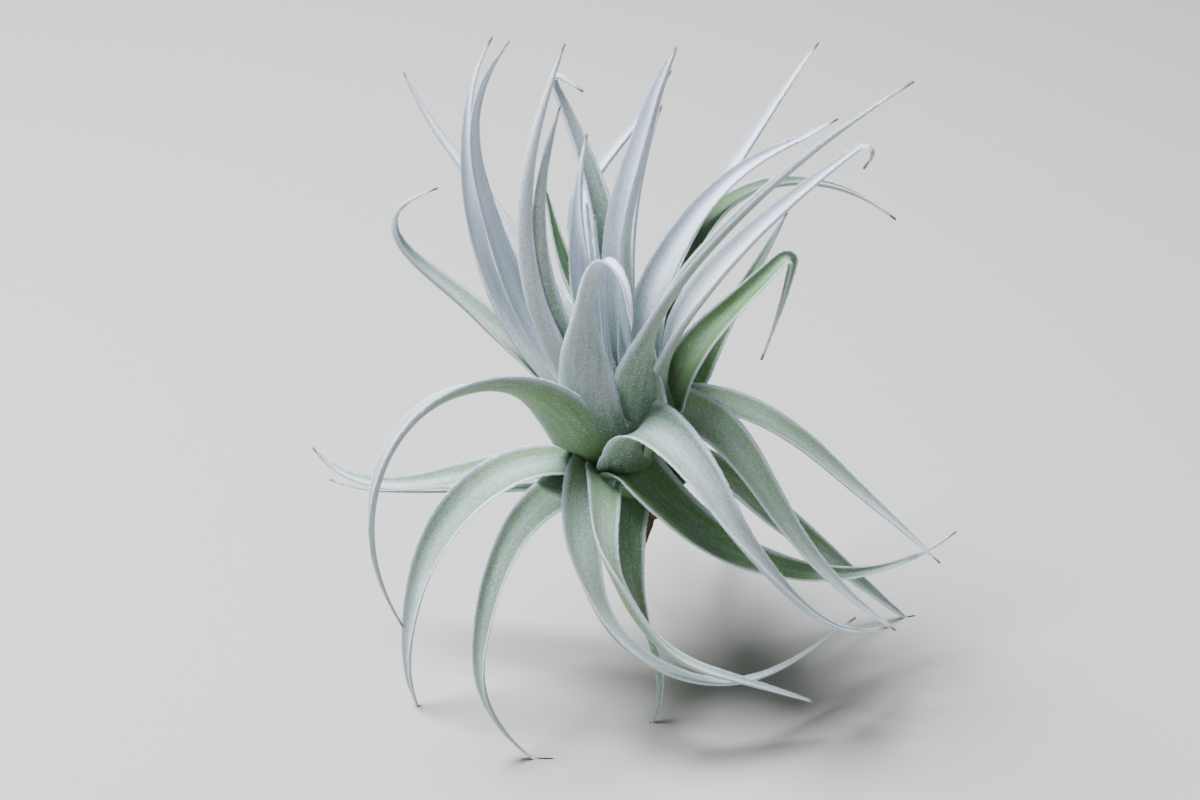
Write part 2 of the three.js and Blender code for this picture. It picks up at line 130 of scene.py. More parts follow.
# Each leaf from the lowest to the innermost: its finish; its throat's heading, distance from the stem's
# axis and height over its foot; the blade's length and flat width; then its rise over the horizontal,
# heading and roll about its own midline, at even steps from the throat (s = 0) to the tip (s = 1). The
# blade narrows as (1 - s) to the power of its taper, its flare is how much wider it is at the throat, and
# a hooked tip bends at a share of the blade by an angle.
LEAVES = [
    leaf("old", [165, 19, 2], 57, 5.5, [-15, -10, -10, -10, 15], [165], [15], flare=0.2),
    leaf("old", [-110, 8, 6], 59, 10, [-30, -60, -70, -75, -90, -110], [-100, -80, -30, 10, 10, 0], [-15],
         flare=0.1),
    leaf("green", [10, 11, 9], 84, 15, [-25, -45, -45, -45, -45, -45], [35, 25, 20, 10, 10, 15],
         [10, 50, 50]),
    leaf("old", [70, 12, 10], 80, 9.5, [-5, -40, -55, -65, -70], [70, 70, 65, 65, 60]),
    leaf("banded", [170, 18, 7], 61, 11, [5, -15, -20, 5, 60], [170], [-10, -30, -20]),
    leaf("banded", [-156, 15.5, 9.5], 88, 8.5, [10, -5, -35, -70, -85, -105, -125, -150],
         [-130, -125, -120, -125, -140, -160, -180, -180], [-40, -20, -20], flare=0.15),
    leaf("green", [-85, 9.5, 13], 89, 15, [-35, -35, -30, -25, -15, 5, 25],
         [-35, -15, 10, 25, 30, 25, 30], [0, 40, 40, 30], taper=1.3),
    leaf("old", [100, 12, 12], 60, 9, [20, 0, -25, -50, -60], [100]),
    leaf("banded", [-160, 11.5, 12], 89, 15, [35, -20, -55, -75, -85, -110], [-165], [-10, -40, -35, -20],
         flare=-0.35),
    leaf("pale", [-135, 14, 13], 101, 9.5, [-30, -45, -65, -45, -25, -15, 0, 15, 15],
         [-110, -90, -45, -15, -5, 20, 35, 35, 35], [-25, -15, 0, 0, 0], flare=0.2, taper=1.2),
    leaf("light", [15, 15, 25], 73, 10.5, [-10, -30, -45, -40, -40], [20, 0, -5, -10, -20],
         [10, 30, 30]),
    leaf("light", [-123, 13, 13], 84, 9.5, [-5, -35, -65, -50, -25, -25, -30],
         [-90, -90, -20, 0, 10, 10, 15], [-35, -45, -10, 10, 20]),
    leaf("light", [-10, 11, 26], 72, 11.5, [-5, -40, -55, -50, -40, -35], [0, -35, -30, -20, -15, -5],
         [35]),
    leaf("blue", [-85, 10, 21.5], 104, 12, [85, -15, -55, -55, -50, -35, -15],
         [-65, -50, -35, 5, 30, 45, 45], [25, 20, 15, 15, 20], flare=0.25, taper=1),
    leaf("pale", [-140, 13, 22], 104, 10.5, [60, 50, 25, -10, -50, -75, -90, -105, -115],
         [-155, -150, -150, -155, -155, -160, -175, -155, -150], [60, 40, 10, 0, 0], flare=0.45),
    leaf("old", [120, 11, 17], 42, 9, [40, 15, -15, -40], [120]),
    leaf("green", [45, 23.5, 25], 43, 8, [40, 40, 40, 40, 45], [50]),
    leaf("old", [90, 9, 20], 60, 9, [45, 20, -10, -40, -60], [90]),
    leaf("dusky", [-125, 12, 34], 58, 9.6, [80, 80, 85, 80, 75, 50, -10, -65, -75],
         [-110, -100, -75, -55, -55, -60, -60, -65, -75], flare=0.5),
    leaf("banded", [165, 12, 26], 70, 13, [40, 35, 35, 40, 35, 40, 65, 145, 155],
         [155, 155, 155, 160, 165, 170, 180, 165, 170]),
    leaf("green", [40, 9, 30], 94, 11, [60, 45, 30, 0, -25, -45], [80, 60, 50, 25, 20, 20], [0, 0, 15]),
    leaf("silver", [140, 9, 32], 77, 10.5, [50, 45, 50, 40, 60], [140, 135, 145, 145, 140]),
    leaf("silver", [165, 10.5, 24], 89, 10, [40, 55, 70, 75, 75, 55], [170, 165, 155, 115, 70, 20],
         flare=0.2),
    leaf("green", [0, 11.5, 28], 67, 9.5, [80, 60, 45, 45, 45, 40, 35], [10], [20, 45, 45, 20], flare=0.2,
         hook=(0.62, -145)),
    leaf("old", [110, 8, 26], 40, 8.5, [50, 30, 10, -15, -40], [110]),
    leaf("silver", [170, 9, 25], 91, 10, [55, 60, 70, 75, 80, 105, 130],
         [170, 170, 170, 180, 185, 165, 165], [0, -40, -60, -60, -60]),
    leaf("silver", [55, 7.5, 30], 87, 11, [60, 45, 40, 40, 40], [80, 55, 40, 45, 40]),
    leaf("fresh_glow", [110, 7.5, 41], 34, 8.5, [50, 55, 65, 65, 70], [150, 150, 135, 120, 130]),
    leaf("dusky", [-160, 9, 25], 90, 11, [65, 70, 85, 105, 115], [-160, -160, -150, -155, -155],
         [0, 25, 25], flare=0.5),
    leaf("sage", [-65, 9, 27], 115, 9.5, [80, 70, 55, 50, 45, 40], [-120, -45, -35, -35, -35, -30],
         [0, 20, 25, 20, 10], flare=0.35),
    leaf("silver", [-25, 9.5, 30], 86, 13.5, [85, 70, 55, 50, 45, 40], [-55, -30, -15, -20, -15, -15],
         [20, 40, 40], hook=(0.94, -160)),
    leaf("silver", [80, 6, 30], 76, 12, [70, 65, 55, 40, 40, 65], [150, 140, 120, 40, 30, 20]),
    leaf("sage", [-145, 7, 30], 71, 10.5, [65, 70, 80, 100, 115], [-160, -165, -160, -140, -145], [25]),
    leaf("silver", [30, 5.5, 30], 77, 13, [85, 75, 55, 50, 35, 20, 30], [90, 60, 40, 25, 20, 10, 10],
         [0, 25, 30, 30]),
    leaf("sage", [115, 6, 30], 76, 12.8, [85, 80, 80, 65, 60, 60, 65], [60, 90, 110, 125, 135, 145, 150],
         taper=0.75, hook=(0.9, 140)),
    leaf("silver", [150, 5, 30], 58, 11, [75, 80, 85, 85, 75], [170, 170, 120, 60, 30], [-20]),
    leaf("silver", [30, 4, 30], 80, 18, [100, 100, 90, 75, 75, 65], [20, 20, 5, 10, 15, 10], [15],
         flare=-0.3, taper=0.65),
    leaf("silver", [-135, 3, 28], 45, 2.4, [95, 95, 95, 95, 95], [0], [100]),
    leaf("silver", [45, 2.5, 30], 64, 6.5, [80, 85, 80, 70], [110, 80, 25, 20]),
    leaf("silver", [180, 2, 27], 48, 2.4, [80, 80, 85, 85, 85], [180], [-70]),
]

stem_low, stem_high = (np.array(corner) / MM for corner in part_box("stem"))
lean_slope = math.tan(math.radians(STEM["lean"]))
# The middle of the stem's foot in the frame. The stem is widest a chamfer above it, where it has leaned.
FOOT = np.array([
    stem_high[0] - STEM["foot_radius"] + STEM["foot_chamfer"] * lean_slope,
    (stem_low[1] + stem_high[1]) / 2,
    stem_low[2],
])


# ---------------------------------------------------------------- lines and directions

EASING = 0.35  # share of a step to either side over which the corners of a leaf's lines are eased
EASING_SAMPLES = 7


def along(values, s):
    """The value of a list of even steps at shares s of its length: straight lines between the steps,
    averaged over a third of a step to either side to ease their corners."""
    values = np.asarray(values, float)
    if len(values) == 1:
        return np.full(np.shape(s), values[0])
    places = np.linspace(0, 1, len(values))
    offsets = np.linspace(-EASING, EASING, EASING_SAMPLES) / (len(values) - 1)
    return sum(np.interp(np.clip(s + offset, 0, 1), places, values) for offset in offsets) / len(offsets)


def direction(rise, heading):
    """The unit vector at a rise over the horizontal and a heading."""
    rise, heading = np.radians(rise), np.radians(heading)
    return np.stack([np.cos(rise) * np.cos(heading), np.cos(rise) * np.sin(heading), np.sin(rise)], -1)


def about_stem(heading, out, up):
    """The point at height up over the stem's foot, at distance out from its leaning axis."""
    drift = direction(0, STEM["lean_heading"]) * up * lean_slope
    return drift + direction(0, heading) * out + np.array([0, 0, up])


def stem_radius(up):
    return STEM["foot_radius"] + (STEM["top_radius"] - STEM["foot_radius"]) * up / STEM["length"]


def unit(v):
    return v / np.linalg.norm(v, axis=-1, keepdims=True)


def smooth(low, high, x):
    """From 0 at low to 1 at high by t^2 (3 - 2t), where t is the share of the way. low may be above high."""
    t = np.clip((x - low) / (high - low), 0, 1)
    return t * t * (3 - 2 * t)


# ---------------------------------------------------------------- a leaf's midline

SHEATH_SHARES = np.linspace(0, 1, 14, endpoint=False)  # a sheath's stations, from its root to its throat
BLADE_SHARES = np.linspace(0, 1, 90)  # and a blade's, from its throat to its tip
STRIDES = 6  # short straight strides between two stations of a blade


def blade_width(row, s):
    """The flat width at s: width * (1 - s)^taper, widened at the throat by the flare, which fades out."""
    flare = 1 + row["flare"] * (1 - smooth(0, BLADE["flare_end"], s))
    return np.maximum(row["width"] * (1 - s) ** row["taper"] * flare, BLADE["tip_width"])


def blade_rise(row, s):
    """The rise at s, in degrees: the row's own, and past the hook's share of the blade its turn as well."""
    start, turn = row["hook"]
    bent = smooth(start - BLADE["hook_bend"], start + BLADE["hook_bend"], s)
    return along(row["rise"], s) + turn * bent


def sheath_line(row, root_up):
    """The sheath's stations and tangents, and the straight distance that it spans: a quadratic curve from
    the root on the stem to the throat, where it takes up the blade's first direction."""
    around, out, up = row["throat"]
    root = about_stem(around, stem_radius(root_up), root_up)
    throat = about_stem(around, out, up)
    span = np.linalg.norm(throat - root)
    bend = throat - direction(row["rise"][0], row["heading"][0]) * span / 2
    p = SHEATH_SHARES[:, None]
    at = (1 - p) ** 2 * root + 2 * p * (1 - p) * bend + p ** 2 * throat
    tangent = unit(2 * (1 - p) * (bend - root) + 2 * p * (throat - bend))
    return at, tangent, span


def blade_line(row):
    """The blade's stations and tangents: from the throat on, the sum of short strides whose direction
    follows the row's rise and heading."""
    strides = (len(BLADE_SHARES) - 1) * STRIDES
    fine = (np.arange(strides) + 0.5) / strides
    steps = direction(blade_rise(row, fine), along(row["heading"], fine)) * row["length"] / strides
    at = about_stem(*row["throat"]) + np.vstack([np.zeros(3), np.cumsum(steps, axis=0)])[::STRIDES]
    return at, direction(blade_rise(row, BLADE_SHARES), along(row["heading"], BLADE_SHARES))


def half_angles(sheath_width, throat_width, out, root_up, rank, forming):
    """Half the angle that the section's arc turns through at each station, in radians. The sheath clasps the
    stem: its arc is its width over its distance from the axis. In the blade the arc at the throat turns into
    the open channel's by open_by, and from there into the tip's."""
    widest = math.radians(BLADE["widest_wrap"])
    distance = stem_radius(root_up) + (out - stem_radius(root_up)) * SHEATH_SHARES
    sheath = np.minimum(sheath_width / 2 / distance, widest)
    wrap = min(throat_width / 2 / out, widest)
    lowest, innermost = BLADE["channel"]
    opened = lowest + (innermost - lowest) * rank
    closing = np.clip((BLADE_SHARES - BLADE["open_by"]) / (1 - BLADE["open_by"]), 0, 1)
    channel = np.radians(opened + (BLADE["tip_channel"] - opened) * closing)
    return np.r_[sheath, wrap + (channel - wrap) * forming]


def face_about(lines):
    """Adds the directions across a leaf and in towards its upper face: level and square to the heading,
    made square to the tangent, and then turned about it by the roll."""
    facing = np.radians(lines["heading"])
    across = np.stack([-np.sin(facing), np.cos(facing), 0 * facing], -1)
    across = unit(across - lines["tangent"] * np.sum(across * lines["tangent"], -1, keepdims=True))
    inward = np.cross(lines["tangent"], across)
    turn = np.radians(lines["roll"])[:, None]
    lines["across"] = across * np.cos(turn) + inward * np.sin(turn)
    lines["inward"] = np.cross(lines["tangent"], lines["across"])


def midline(row, root_up, rank):
    """A leaf's stations from its root to its tip, as a dict of arrays with one entry a station. s is -1 at
    the root, 0 at the throat and 1 at the tip. rank is 0 for the lowest leaf and 1 for the innermost."""
    around, out, _ = row["throat"]
    q, s = SHEATH_SHARES, BLADE_SHARES
    sheath, sheath_tangent, span = sheath_line(row, root_up)
    blade, blade_tangent = blade_line(row)
    width = blade_width(row, 0)
    sheath_width = width * (BLADE["sheath_spread"] + (1 - BLADE["sheath_spread"]) * q)
    forming = np.clip(s / BLADE["open_by"], 0, 1)  # from 0 at the throat to 1 where the channel is open
    thick, thin = BLADE["thickness"], BLADE["tip_thickness"]
    lines = {
        "s": np.r_[q - 1, s],
        "run": np.r_[(q - 1) * span, s * row["length"]],
        "at": np.vstack([sheath, blade]),
        "tangent": np.vstack([sheath_tangent, blade_tangent]),
        "heading": np.r_[around + (row["heading"][0] - around) * q, along(row["heading"], s)],
        "roll": np.r_[row["roll"][0] * q, along(row["roll"], s)],
        "width": np.r_[sheath_width, blade_width(row, s)],
        "half_angle": half_angles(sheath_width, width, out, root_up, rank, forming),
        "centred": np.r_[0 * q, forming],
        "thickness": np.r_[0 * q + thick, thick + (thin - thick) * s],
    }
    face_about(lines)
    return lines


# ---------------------------------------------------------------- a leaf's surface

FACE_STEPS = 14  # steps across one face, closer together towards the margins


def on_leaf(lines, u, side):
    """Points on a leaf and the outward directions there. At each station the blade is an arc of the
    channel, with u from -1 to 1 between its margins, and a face lies off the middle of the blade by half
    its thickness, which falls off as (1 - u^2)^power to the margins. side is 1 on the inner face and -1
    on the back."""
    width, thickness = lines["width"][:, None], lines["thickness"][:, None]
    half_angle = np.minimum(lines["half_angle"][:, None], width / (BLADE["tightest"] * thickness))
    radius = width / 2 / half_angle
    sink = lines["centred"][:, None] * radius * (1 - np.cos(half_angle)) / 2
    half = np.minimum(thickness / 2 * (1 - u ** 2) ** BLADE["margin_power"], BLADE["deepest"] * radius)
    angle = half_angle * u
    reach = radius - side * half
    across, inward = lines["across"][:, None], lines["inward"][:, None]
    sin, cos = np.sin(angle)[..., None], np.cos(angle)[..., None]
    points = lines["at"][:, None] + reach[..., None] * (sin * across - cos * inward)
    points += (radius - sink)[..., None] * inward
    edge = (smooth(BLADE["rounded_from"], 1, np.abs(u)) * math.pi / 2)[..., None] * np.ones_like(sin)
    off_face = -np.asarray(side)[..., None] * (sin * across - cos * inward)
    off_margin = np.sign(u)[..., None] * (cos * across + sin * inward)
    return points, off_face * np.cos(edge) + off_margin * np.sin(edge)


def leaf_rings(lines):
    """The closed loop of points round each station: the back from margin to margin, then the inner face
    back. Returns the rings with each point's u and side."""
    back = -np.cos(np.linspace(0, math.pi, FACE_STEPS + 1))
    back[[0, -1]] = -1, 1
    front = back[-2:0:-1]
    back_points = on_leaf(lines, back[None, :], -1)[0]
    front_points = on_leaf(lines, front[None, :], 1)[0]
    side = np.r_[-np.ones(len(back)), np.ones(len(front))]
    return np.concatenate([back_points, front_points], axis=1), np.r_[back, front], side


def loft_faces(rings, around):
    """Quads between each ring of points and the next, and a fan to one more point at each end."""
    point = np.arange(around)
    beside = (point + 1) % around
    ring = np.arange(rings - 1)[:, None] * around
    quads = np.stack([ring + point, ring + beside, ring + around + beside, ring + around + point], -1)
    start_middle, end_middle = rings * around, rings * around + 1
    last_ring = (rings - 1) * around
    start = np.stack([beside, point, np.full(around, start_middle)], -1)
    end = np.stack([last_ring + point, last_ring + beside, np.full(around, end_middle)], -1)
    return quads.reshape(-1, 4).tolist() + start.tolist() + end.tolist()


def new_piece(name, points, faces, values, material, node=None, slot=None, flat_faces=False):
    """A mesh object from points in millimetres over the stem's foot, kept on or above the surface, with a
    float or vector attribute for each of the values, that rides with the plant."""
    placed = (points + FOOT) * MM
    placed[:, 2] = np.maximum(placed[:, 2], 0.0)
    mesh = bpy.data.meshes.new(name)
    mesh.from_pydata(placed, [], faces)
    for key, value in values.items():
        vector = value.ndim == 2
        layer = mesh.attributes.new(key, "FLOAT_VECTOR" if vector else "FLOAT", "POINT")
        layer.data.foreach_set("vector" if vector else "value", value.astype(np.float32).ravel())
    mesh.materials.append(material)
    mesh.polygons.foreach_set("use_smooth", np.full(len(mesh.polygons), not flat_faces))
    mesh.update()
    piece = bpy.data.objects.new(name, mesh)
    bpy.context.scene.collection.objects.link(piece)
    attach(piece, "root")
    if node:
        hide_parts(node)


def lofted(name, rings, values, material, **links):
    """A closed mesh through rings of points, its values given for each ring and point."""
    count, around = rings.shape[:2]
    ends = np.stack([rings[0].mean(0), rings[-1].mean(0)])

    def flat(value):
        """One row for each point of the rings, then the means of the first and last rings."""
        value = np.broadcast_to(value, (count, around) + np.shape(value)[2:])
        return np.concatenate([value.reshape(count * around, -1), [value[0].mean(0).ravel()],
                               [value[-1].mean(0).ravel()]]).squeeze()

    points = np.vstack([rings.reshape(-1, 3), ends])
    values = {key: flat(value) for key, value in values.items()}
    new_piece(name, points, loft_faces(count, around), values, material, **links)


# ---------------------------------------------------------------- how the felt lies

# u is 0 along a blade's middle and 1 at a margin. s is -1 at the root, 0 at the throat and 1 at the tip.
FELT = {
    "rim": (0.72, 0.97),  # the pale rim comes in from the first u to the second
    "rim_cover": 0.95,  # share of the bare skin that the rim hides
    "band": 0.5,  # u at which the band along the middle has faded to 1 / e
    "dusky_gap": 0.12,  # how much thinner the felt is along the middle of a dusky back
    "whiten_over": 0.35,  # share of the blade before and after whiten over which it turns silver
    "tip_cover": 0.7,
    "bulb": (0.35, -0.45),  # painted shade: the felt thins, so the leaf turns darker green, from the first s down to the second
    "bulb_shade_loss": 0.5,  # share of the felt that is taken away there, as painted shade
}
DUSK = {
    "face": 0.15,  # its share on the upper face
    "band": 0.62,  # u at which it has faded to 1 / e
    "grown": (-0.6, 0.3),  # it comes in from the first s to the second
}
DRY_TIP = {"grown": (0.965, 0.99), "share": 0.85}
PATTERN_DEPTH = 3.0  # how far off the blade's middle the pattern is read, so that the two faces differ


def felt_amount(finish, s, u, side):
    """The share of the skin that the felt hides, from a leaf's finish. The upper face goes from its face
    value beside the middle to its middle value by exp(-(u / band)^2), and the back has its own. The rim
    and the tip take that towards 1, and down in the bulb it is multiplied by 1 - bulb_shade_loss, which
    thins the felt there as painted shade."""
    rim = smooth(*FELT["rim"], np.abs(u))
    middle = np.exp(-(u / FELT["band"]) ** 2)
    tipward = smooth(finish["whiten"] - FELT["whiten_over"], finish["whiten"] + FELT["whiten_over"], s)
    upper = finish["face"] + (finish["middle"] - finish["face"]) * middle
    under = finish["back"] - FELT["dusky_gap"] * middle * finish["dusk"]
    amount = np.where(side > 0, upper, under)
    amount = amount + (1.0 - amount) * np.maximum(FELT["rim_cover"] * rim, FELT["tip_cover"] * tipward)
    return amount * (1 - FELT["bulb_shade_loss"] * smooth(*FELT["bulb"], s))


def felt_values(finish, lines, u, side):
    """What the leaf's material reads at each point of its rings: where the point lies on the blade, in
    metres across, along and off it, and the amounts of felt, fresh green glow (the skin's own fresh colour
    brightened as painted light shining through the leaf), dusk and dried tip there."""
    s, u, side = lines["s"][:, None], u[None, :], side[None, :]
    across = u * lines["width"][:, None] / 2
    lengthways = lines["run"][:, None] + 0 * u
    off = side * (1 - u ** 2) * PATTERN_DEPTH + 0 * s
    green = 1 - smooth(finish["whiten"], 1, s)
    dusky = np.where(side < 0, 1.0, DUSK["face"]) * np.exp(-(u / DUSK["band"]) ** 2)
    return {
        "lie": np.stack([across, lengthways, off], -1) * MM,
        "felt": felt_amount(finish, s, u, side),
        # fresh_glow: the skin's own fresh yellow-green, brightened as painted light shining through the leaf
        "fresh_glow": finish["fresh_glow"] * green + 0 * u,
        "dusk": finish["dusk"] * dusky * green * smooth(*DUSK["grown"], s),
        "dry": DRY_TIP["share"] * smooth(*DRY_TIP["grown"], s) + 0 * u,
    }


# ---------------------------------------------------------------- shader groups

COLOUR, NUMBER, VECTOR = "NodeSocketColor", "NodeSocketFloat", "NodeSocketVector"


def new_group(name, inputs, outputs):
    """An empty shader node group with named sockets, and its input and output nodes."""
    group = bpy.data.node_groups.new(name, "ShaderNodeTree")
    for label, kind in inputs.items():
        group.interface.new_socket(label, in_out="INPUT", socket_type=kind)
    for label, kind in outputs.items():
        group.interface.new_socket(label, in_out="OUTPUT", socket_type=kind)
    return group, group.nodes.new("NodeGroupInput").outputs, group.nodes.new("NodeGroupOutput").inputs


def fill(tree, socket, value):
    """A socket set to a number or colour, or linked to another node's output."""
    if isinstance(value, bpy.types.NodeSocket):
        tree.links.new(value, socket)
    else:
        socket.default_value = value


def calculate(tree, operation, *values, clamp=False):
    """A math node's result. MULTIPLY_ADD is the first value times the second plus the third."""
    node = tree.nodes.new("ShaderNodeMath")
    node.operation = operation
    node.use_clamp = clamp
    for socket, value in zip(node.inputs, values):
        fill(tree, socket, value)
    return node.outputs[0]


def mix_colour(tree, share, first, second):
    node = tree.nodes.new("ShaderNodeMix")
    node.data_type = "RGBA"
    fill(tree, node.inputs[0], share)
    fill(tree, node.inputs[6], first)
    fill(tree, node.inputs[7], second)
    return node.outputs[2]


def stretch(tree, vector, per_metre):
    """A place in metres, counted in a pattern's cells along each of its axes."""
    node = tree.nodes.new("ShaderNodeVectorMath")
    node.operation = "MULTIPLY"
    fill(tree, node.inputs[0], vector)
    fill(tree, node.inputs[1], per_metre)
    return node.outputs[0]


def noise(tree, place, per_metre, detail):
    node = tree.nodes.new("ShaderNodeTexNoise")
    node.inputs["Scale"].default_value = 1.0
    node.inputs["Detail"].default_value = detail
    tree.links.new(stretch(tree, place, per_metre), node.inputs["Vector"])
    return node.outputs["Fac"]


def attribute(tree, name, vector=False):
    node = tree.nodes.new("ShaderNodeAttribute")
    node.attribute_name = name
    return node.outputs["Vector" if vector else "Fac"]


# Cells of the felt's patterns for each metre across a blade, along it and off its face.
GRAIN_PER_METRE = (3400.0, 2300.0, 3400.0)
STREAKS_PER_METRE = (1300.0, 60.0, 400.0)
BLOTCHES_PER_METRE = (260.0, 90.0, 260.0)
GRAIN_SWING, STREAK_SWING, BLOTCH_SWING = 0.16, 0.4, 0.5  # by how much each pattern varies the cover


def felt_group():
    """Silver felt over a green skin, on the blade's own coordinates (Lie). The cover, the share of the
    skin that the felt hides, is Felt + swing * (pattern - 1/2), summed over soft blotches, streaks along
    the blade and the grain, and kept from 0 to 1. The skin goes from deep to plain by 2.2 streaks - 0.6,
    Fresh_Glow turns it yellower and brighter, its own fresh colour with painted light shining through the
    leaf, and Dusk tints it. The felt goes from the thin shaded silver, a darker sage copy where thin felt
    lets the skin through and painted shade darkens it, to full silver by 1.8 Felt + 0.3 grain - 0.8. Dry
    is the share of a dried tip. The height is the cover times the grain's domes, plus half the streaks,
    and the roughness is 0.5 + 0.3 cover."""
    group, given, result = new_group(
        "felt_over_skin",
        {"Lie": VECTOR, "Felt": NUMBER, "Fresh_Glow": NUMBER, "Dusk": NUMBER, "Dry": NUMBER, "Skin": COLOUR,
         "Deep Skin": COLOUR, "Glowing Fresh Skin": COLOUR, "Dusky Skin": COLOUR, "Silver": COLOUR,
         "Thin Shaded Silver": COLOUR, "Dry Tip": COLOUR},
        {"Colour": COLOUR, "Height": NUMBER, "Roughness": NUMBER},
    )
    lie = given["Lie"]
    cells = group.nodes.new("ShaderNodeTexVoronoi")
    cells.inputs["Scale"].default_value = 1.0
    group.links.new(stretch(group, lie, GRAIN_PER_METRE), cells.inputs["Vector"])
    split = group.nodes.new("ShaderNodeSeparateColor")
    group.links.new(cells.outputs["Color"], split.inputs[0])
    grain = split.outputs[0]
    streaks = noise(group, lie, STREAKS_PER_METRE, detail=2.0)
    blotches = noise(group, lie, BLOTCHES_PER_METRE, detail=3.0)

    cover = given["Felt"]
    for pattern, swing in ((blotches, BLOTCH_SWING), (streaks, STREAK_SWING), (grain, GRAIN_SWING)):
        lowered = calculate(group, "SUBTRACT", cover, swing / 2)
        cover = calculate(group, "MULTIPLY_ADD", pattern, swing, lowered, clamp=pattern is grain)

    plain = calculate(group, "MULTIPLY_ADD", streaks, 2.2, -0.6, clamp=True)
    skin = mix_colour(group, plain, given["Deep Skin"], given["Skin"])
    # painted light: the skin turns a brighter yellow-green, as if light shone through the leaf
    skin = mix_colour(group, given["Fresh_Glow"], skin, given["Glowing Fresh Skin"])
    skin = mix_colour(group, given["Dusk"], skin, given["Dusky Skin"])
    uneven = calculate(group, "MULTIPLY_ADD", grain, 0.3, -0.8)
    thick = calculate(group, "MULTIPLY_ADD", given["Felt"], 1.8, uneven)
    thick = calculate(group, "MAXIMUM", calculate(group, "MINIMUM", thick, 1.0), 0.0)
    # painted shade: where the felt is thin, the silver turns to a darker sage copy of itself
    silver = mix_colour(group, thick, given["Thin Shaded Silver"], given["Silver"])
    felted = mix_colour(group, cover, skin, silver)
    group.links.new(mix_colour(group, given["Dry"], felted, given["Dry Tip"]), result["Colour"])
    domed = calculate(group, "SUBTRACT", 1.0, cells.outputs["Distance"])
    height = calculate(group, "MULTIPLY", cover, domed)
    group.links.new(calculate(group, "MULTIPLY_ADD", streaks, 0.5, height), result["Height"])
    group.links.new(calculate(group, "MULTIPLY_ADD", cover, 0.3, 0.5), result["Roughness"])
    return group


# The felt's and the skin's base colours.
FELT_LOOK = {
    "Skin": (0.06, 0.15, 0.035, 1),
    "Deep Skin": (0.03, 0.09, 0.02, 1),
    # a fresh leaf's yellow-green, brightened as painted light shining through it
    "Glowing Fresh Skin": (0.17, 0.36, 0.06, 1),
    "Dusky Skin": (0.10, 0.11, 0.075, 1),
    "Silver": (0.66, 0.74, 0.88, 1),
    # the silver of thin felt, darkened to sage as painted shade
    "Thin Shaded Silver": (0.33, 0.44, 0.38, 1),
    "Dry Tip": (0.24, 0.13, 0.06, 1),
}


def plain_material(name, colour, roughness, sheen=0.0):
    material = bpy.data.materials.new(name)
    material.use_nodes = True
    shader = material.node_tree.nodes["Principled BSDF"]
    shader.inputs["Base Color"].default_value = (*colour, 1)
    shader.inputs["Roughness"].default_value = roughness
    shader.inputs["Sheen Weight"].default_value = sheen
    return material


def add_relief(tree, height, strength, depth):
    """Small relief on a material's surface: a height from 0 to 1 over a depth in metres."""
    relief = tree.nodes.new("ShaderNodeBump")
    relief.inputs["Strength"].default_value = strength
    relief.inputs["Distance"].default_value = depth
    tree.links.new(height, relief.inputs["Height"])
    tree.links.new(relief.outputs["Normal"], tree.nodes["Principled BSDF"].inputs["Normal"])


def leaf_material(name, group, look):
    """A felted leaf: the group's colour, roughness and relief, read from the leaf's own values."""
    material = plain_material(name, look["Skin"][:3], 0.5, sheen=0.3)
    tree = material.node_tree
    shader = tree.nodes["Principled BSDF"]
    effect = tree.nodes.new("ShaderNodeGroup")
    effect.node_tree = group
    tree.links.new(attribute(tree, "lie", vector=True), effect.inputs["Lie"])
    for key in ("Felt", "Fresh_Glow", "Dusk", "Dry"):
        tree.links.new(attribute(tree, key.lower()), effect.inputs[key])
    for label, value in look.items():
        effect.inputs[label].default_value = value
    tree.links.new(effect.outputs["Colour"], shader.inputs["Base Color"])
    tree.links.new(effect.outputs["Roughness"], shader.inputs["Roughness"])
    add_relief(tree, effect.outputs["Height"], strength=0.4, depth=0.15 * MM)
    shader.inputs["Sheen Roughness"].default_value = 0.45
    shader.inputs["Specular IOR Level"].default_value = 0.3
    return material


def husk_material(name, pale, dark, per_metre):
    """Dead plant tissue in Object coordinates: it goes from the dark brown to the pale by 3 * grain - 1,
    with the grain as relief."""
    material = plain_material(name, pale, 0.85)
    tree = material.node_tree
    shader = tree.nodes["Principled BSDF"]
    place = tree.nodes.new("ShaderNodeTexCoord").outputs["Object"]
    grain = noise(tree, place, per_metre, detail=4.0)
    share = calculate(tree, "MULTIPLY_ADD", grain, 3.0, -1.0, clamp=True)
    tree.links.new(mix_colour(tree, share, (*dark, 1), (*pale, 1)), shader.inputs["Base Color"])
    add_relief(tree, grain, strength=0.7, depth=0.3 * MM)
    return material


# ---------------------------------------------------------------- leaves and their scales

def grow_leaf(name, row, root_up, rank, material, node, slot):
    lines = midline(row, root_up, rank)
    rings, u, side = leaf_rings(lines)
    lofted(name, rings, felt_values(row["finish"], lines, u, side), material, node=node, slot=slot)
    return lines


def at_stations(lines, index):
    """A leaf's lines at fractional stations, on straight lines between them."""
    low = np.minimum(index.astype(int), len(lines["s"]) - 2)
    share = index - low

    def between(values):
        t = share.reshape(-1, *[1] * (values.ndim - 1))
        return values[low] * (1 - t) + values[low + 1] * t

    return {key: between(values) for key, values in lines.items()}


FIRST_SEED = 100
SPEAR_FACES = [[0, 1, 2], [0, 2, 3], [2, 1, 3], [1, 0, 3]]
FACE_SCALES = 3.2  # for each square millimetre of a face
EDGE_SCALES = 22.0  # for each millimetre of a margin
SCALE = {
    "half_width": 0.08,
    "length": 0.3,
    "edge_length": 0.15,
    "lift": 0.07,
    "edge_lift": 0.22,
    "sunk": 0.04,
    "rim": 0.05,  # share of the half-width that the scales of the margin take up
    "sizes": (0.7, 1.3),
    "scatter": 0.5,  # how far a scale points away from the blade's own direction
    "grown": (-0.5, 0.975),  # they lie between these shares of the leaf
    "clear": 0.05,  # height over the surface on which the plant stands
}


